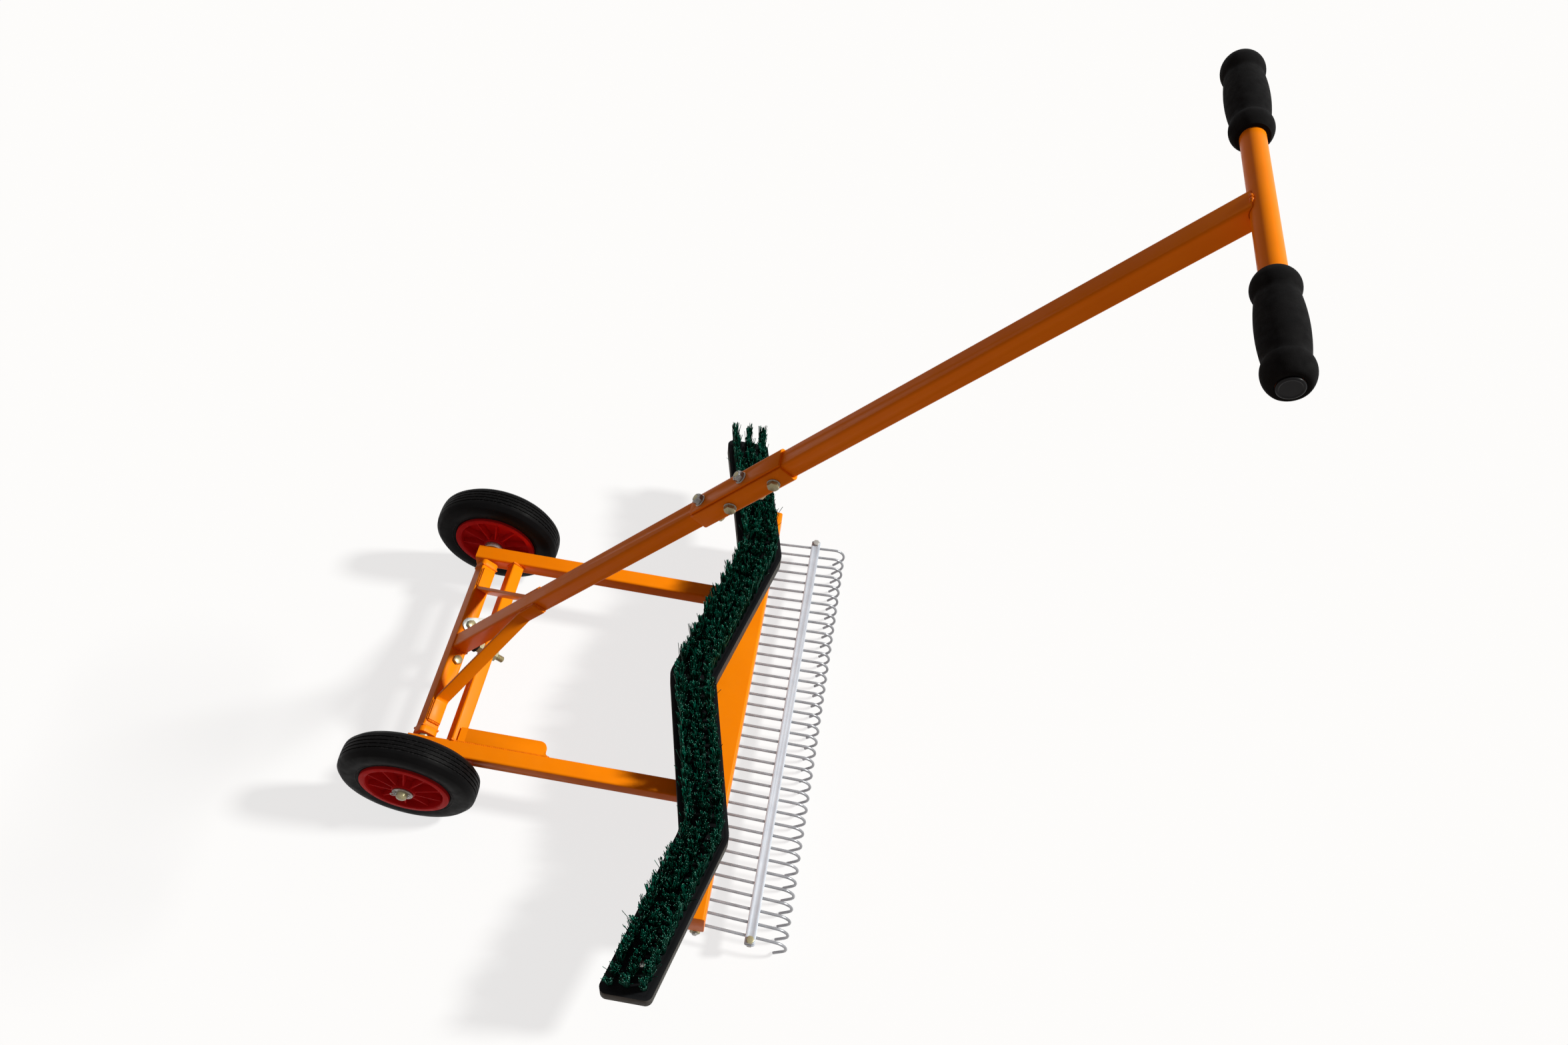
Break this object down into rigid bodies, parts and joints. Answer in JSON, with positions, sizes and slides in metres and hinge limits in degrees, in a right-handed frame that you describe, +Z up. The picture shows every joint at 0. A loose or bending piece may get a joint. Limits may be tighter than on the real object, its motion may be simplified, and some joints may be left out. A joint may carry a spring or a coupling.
{
  "type": "wheeled turf rake and brush",
  "caption": "Hand-pushed turf rake on wheels: a tube carriage with spring tines below and a zigzag bristle brush above, and a swinging T-handle with foam grips.",
  "frame": {"origin": "on the ground under the middle of the tool's bounding box, with the tool standing on its wheels and tine tips", "axes": "+X forward from the wheels to the rake, +Y to the left wheel, +Z up"},
  "size_m": [0.9666, 0.954, 1.1286],
  "materials": {
    "orange_paint": "satin-gloss orange powder coat",
    "zinc_plate": "zinc plate, slightly yellow",
    "spring_wire": "bright drawn spring wire",
    "strip_metal": "matte galvanised flat strip",
    "board_plastic": "matte black plastic",
    "bristle_fibre": "stiff dark green fibre",
    "tyre_rubber": "black rubber with a grooved tread",
    "hub_plastic": "moulded red plastic",
    "buffer_rubber": "matte black rubber",
    "grip_foam": "matte black foam",
    "plug_plastic": "semi-gloss black plastic"
  },
  "bodies": {
    "carriage": {"axle": "zinc_plate", "axle_spacers": "zinc_plate", "axle_washers": "zinc_plate", "bristles_1": "bristle_fibre", "bristles_2": "bristle_fibre", "bristles_3": "bristle_fibre", "bristles_4": "bristle_fibre", "brush_board": "board_plastic", "brush_screws": "zinc_plate", "cross_tube": "orange_paint", "foot_plate": "orange_paint", "front_beam": "orange_paint", "rail_left": "orange_paint", "rail_right": "orange_paint", "rod_nuts": "zinc_plate", "split_pins": "zinc_plate", "stop_bolt": "zinc_plate", "stop_buffer": "buffer_rubber", "stop_nut": "zinc_plate", "strip_bolts": "zinc_plate", "strip_lower": "strip_metal", "strip_nuts": "zinc_plate", "strip_upper": "strip_metal", "tine_lugs": "orange_paint", "tine_rod": "zinc_plate", "tines": "spring_wire"},
    "handle": {"pivot_tube": "orange_paint", "pivot_collars": "orange_paint", "pivot_bolt": "zinc_plate", "latch_bolt": "zinc_plate", "brace_left": "orange_paint", "brace_right": "orange_paint", "handle_lower": "orange_paint", "handle_upper": "orange_paint", "joint_angle_top": "orange_paint", "joint_angle_side": "orange_paint", "joint_bolts": "zinc_plate", "joint_washers": "zinc_plate", "joint_nuts": "zinc_plate", "crossbar": "orange_paint", "grip_left": "grip_foam", "grip_right": "grip_foam", "end_plug_left": "plug_plastic", "end_plug_right": "plug_plastic"},
    "latch": {"latch_plate": "zinc_plate"},
    "wheel_left": {"tyre_left": "tyre_rubber", "hub_left": "hub_plastic"},
    "wheel_right": {"tyre_right": "tyre_rubber", "hub_right": "hub_plastic"}
  },
  "joints": [
    {"name": "handle_swing", "type": "hinge", "parent": "carriage", "child": "handle", "pos_m": [-0.38331, 0, 0.1], "axis": [0, -1, 0], "range_deg": [0, 130]},
    {"name": "latch_turn", "type": "hinge", "parent": "handle", "child": "latch", "pos_m": [-0.37374, 0.034, 0.10829], "axis": [-0.6428, 0, -0.766], "range_deg": [0, 28.4]},
    {"name": "wheel_left_roll", "type": "hinge", "parent": "carriage", "child": "wheel_left", "pos_m": [-0.38331, 0.22, 0.1], "axis": [0, 1, 0], "continuous": true},
    {"name": "wheel_right_roll", "type": "hinge", "parent": "carriage", "child": "wheel_right", "pos_m": [-0.38331, -0.22, 0.1], "axis": [0, 1, 0], "continuous": true}
  ]
}
